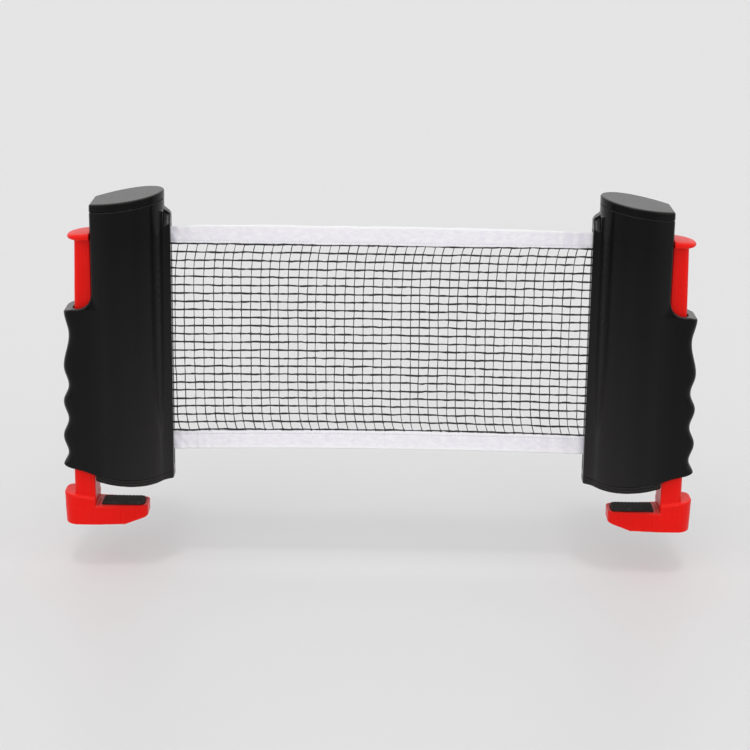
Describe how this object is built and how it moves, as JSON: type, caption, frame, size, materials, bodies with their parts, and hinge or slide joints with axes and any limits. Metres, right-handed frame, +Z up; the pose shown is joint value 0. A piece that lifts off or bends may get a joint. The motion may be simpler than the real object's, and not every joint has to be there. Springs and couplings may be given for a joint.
{
  "type": "retractable table tennis net with clamp posts",
  "caption": "Clip-on retractable table tennis net with black clamp posts, red spring-loaded jaws and thumb plates, and a net that winds into the left post.",
  "frame": {"origin": "midway between the two posts, in the plane of the net, at the height of the table's top face", "axes": "+X along the net to the right post, +Y to the back, +Z up"},
  "size_m": [0.425, 0.053, 0.2289],
  "materials": {
    "black_plastic": "satin",
    "cap_plastic": "fine grained satin",
    "red_plastic": "satin gloss",
    "rubber": "matte",
    "steel": "drawn wire",
    "nylon": "natural",
    "white_tape": "woven tape",
    "net_cord": "knotted cord"
  },
  "bodies": {
    "left_post": {"left_housing": "black_plastic", "left_top_cap": "cap_plastic", "left_base_plate": "black_plastic", "left_base_pad": "rubber", "left_base_screw_1": "steel", "left_base_screw_2": "steel", "left_base_screw_3": "steel", "left_clamp_spring": "steel", "reel_spindle": "steel", "retraction_spring": "steel", "net_mesh": "net_cord", "net_top_tape": "white_tape", "net_bottom_tape": "white_tape"},
    "left_clamp": {"left_push_rod": "red_plastic", "left_clamp_jaw": "red_plastic", "left_jaw_pad": "rubber", "left_rod_pin": "steel"},
    "reel": {"reel_tube": "nylon", "reel_upper_bush": "nylon", "reel_lower_bush": "nylon", "net_roll": "net_cord"},
    "right_post": {"right_housing": "black_plastic", "right_top_cap": "cap_plastic", "right_base_plate": "black_plastic", "right_base_pad": "rubber", "right_base_screw_1": "steel", "right_base_screw_2": "steel", "right_base_screw_3": "steel", "right_clamp_spring": "steel", "net_anchor_bar": "black_plastic"},
    "right_clamp": {"right_push_rod": "red_plastic", "right_clamp_jaw": "red_plastic", "right_jaw_pad": "rubber", "right_rod_pin": "steel"}
  },
  "joints": [
    {"name": "left_clamp_slide", "type": "slide", "parent": "left_post", "child": "left_clamp", "axis": [0, 0, 1], "range_m": [-0.033, 0.016], "stiffness_N_per_m": 400, "springref_m": 0.045, "deforming": ["left_clamp_spring"]},
    {"name": "right_clamp_slide", "type": "slide", "parent": "right_post", "child": "right_clamp", "axis": [0, 0, 1], "range_m": [-0.033, 0.016], "stiffness_N_per_m": 400, "springref_m": 0.045, "deforming": ["right_clamp_spring"]},
    {"name": "net_pull", "type": "slide", "parent": "left_post", "child": "right_post", "axis": [1, 0, 0], "range_m": [-0.27, 1.52], "deforming": ["net_mesh", "net_top_tape", "net_bottom_tape"]},
    {"name": "reel_turn", "type": "hinge", "parent": "left_post", "child": "reel", "pos_m": [-0.16625, 0, 0], "axis": [0, 0, 1], "range_deg": [-1000, 5500], "deforming": ["retraction_spring"]}
  ],
  "couplings": [
    {"joint": "reel_turn", "follows": "net_pull", "rad_per_m": 62.5}
  ]
}
